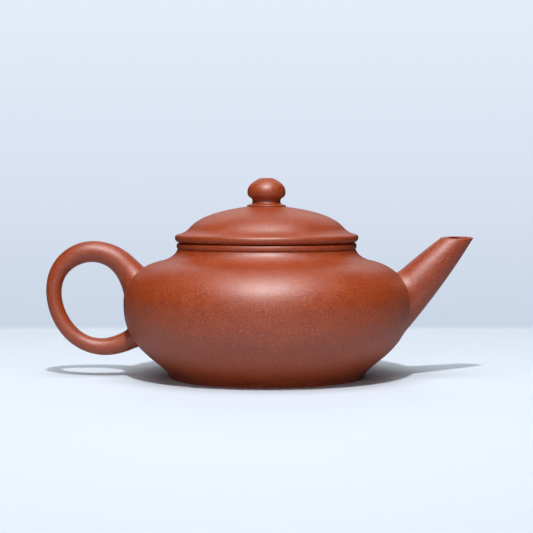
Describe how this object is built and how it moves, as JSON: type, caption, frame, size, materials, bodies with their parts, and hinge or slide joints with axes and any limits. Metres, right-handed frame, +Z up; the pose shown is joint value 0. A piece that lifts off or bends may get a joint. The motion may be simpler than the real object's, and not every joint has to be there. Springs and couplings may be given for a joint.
{
  "type": "yixing clay teapot",
  "caption": "Low round unglazed clay teapot with a straight spout, an ear handle and a lift-off lid with a bead knob; the lid slides straight up.",
  "frame": {"origin": "centre of the foot ring's resting face, on the pot's axis", "axes": "+Z up along the pot's axis, +X towards the spout, the handle at -X, +Y to the left for someone who looks from the handle to the spout"},
  "size_m": [0.1371, 0.0916, 0.0637],
  "materials": {
    "burnished_clay": "satin",
    "plain_clay": "matte"
  },
  "bodies": {
    "pot": {"base_disc": "plain_clay", "foot_ring": "burnished_clay", "belly_wall": "burnished_clay", "shoulder_disc": "burnished_clay", "neck_band": "burnished_clay", "mouth_ring": "burnished_clay", "spout": "burnished_clay", "handle": "burnished_clay"},
    "lid": {"lid_dome": "burnished_clay", "lid_rim": "burnished_clay", "lid_flange": "plain_clay", "knob_seat": "burnished_clay", "knob": "burnished_clay"}
  },
  "joints": [
    {"name": "lid_lift", "type": "slide", "parent": "pot", "child": "lid", "axis": [0, 0, 1], "range_m": [0, 0.05]}
  ]
}
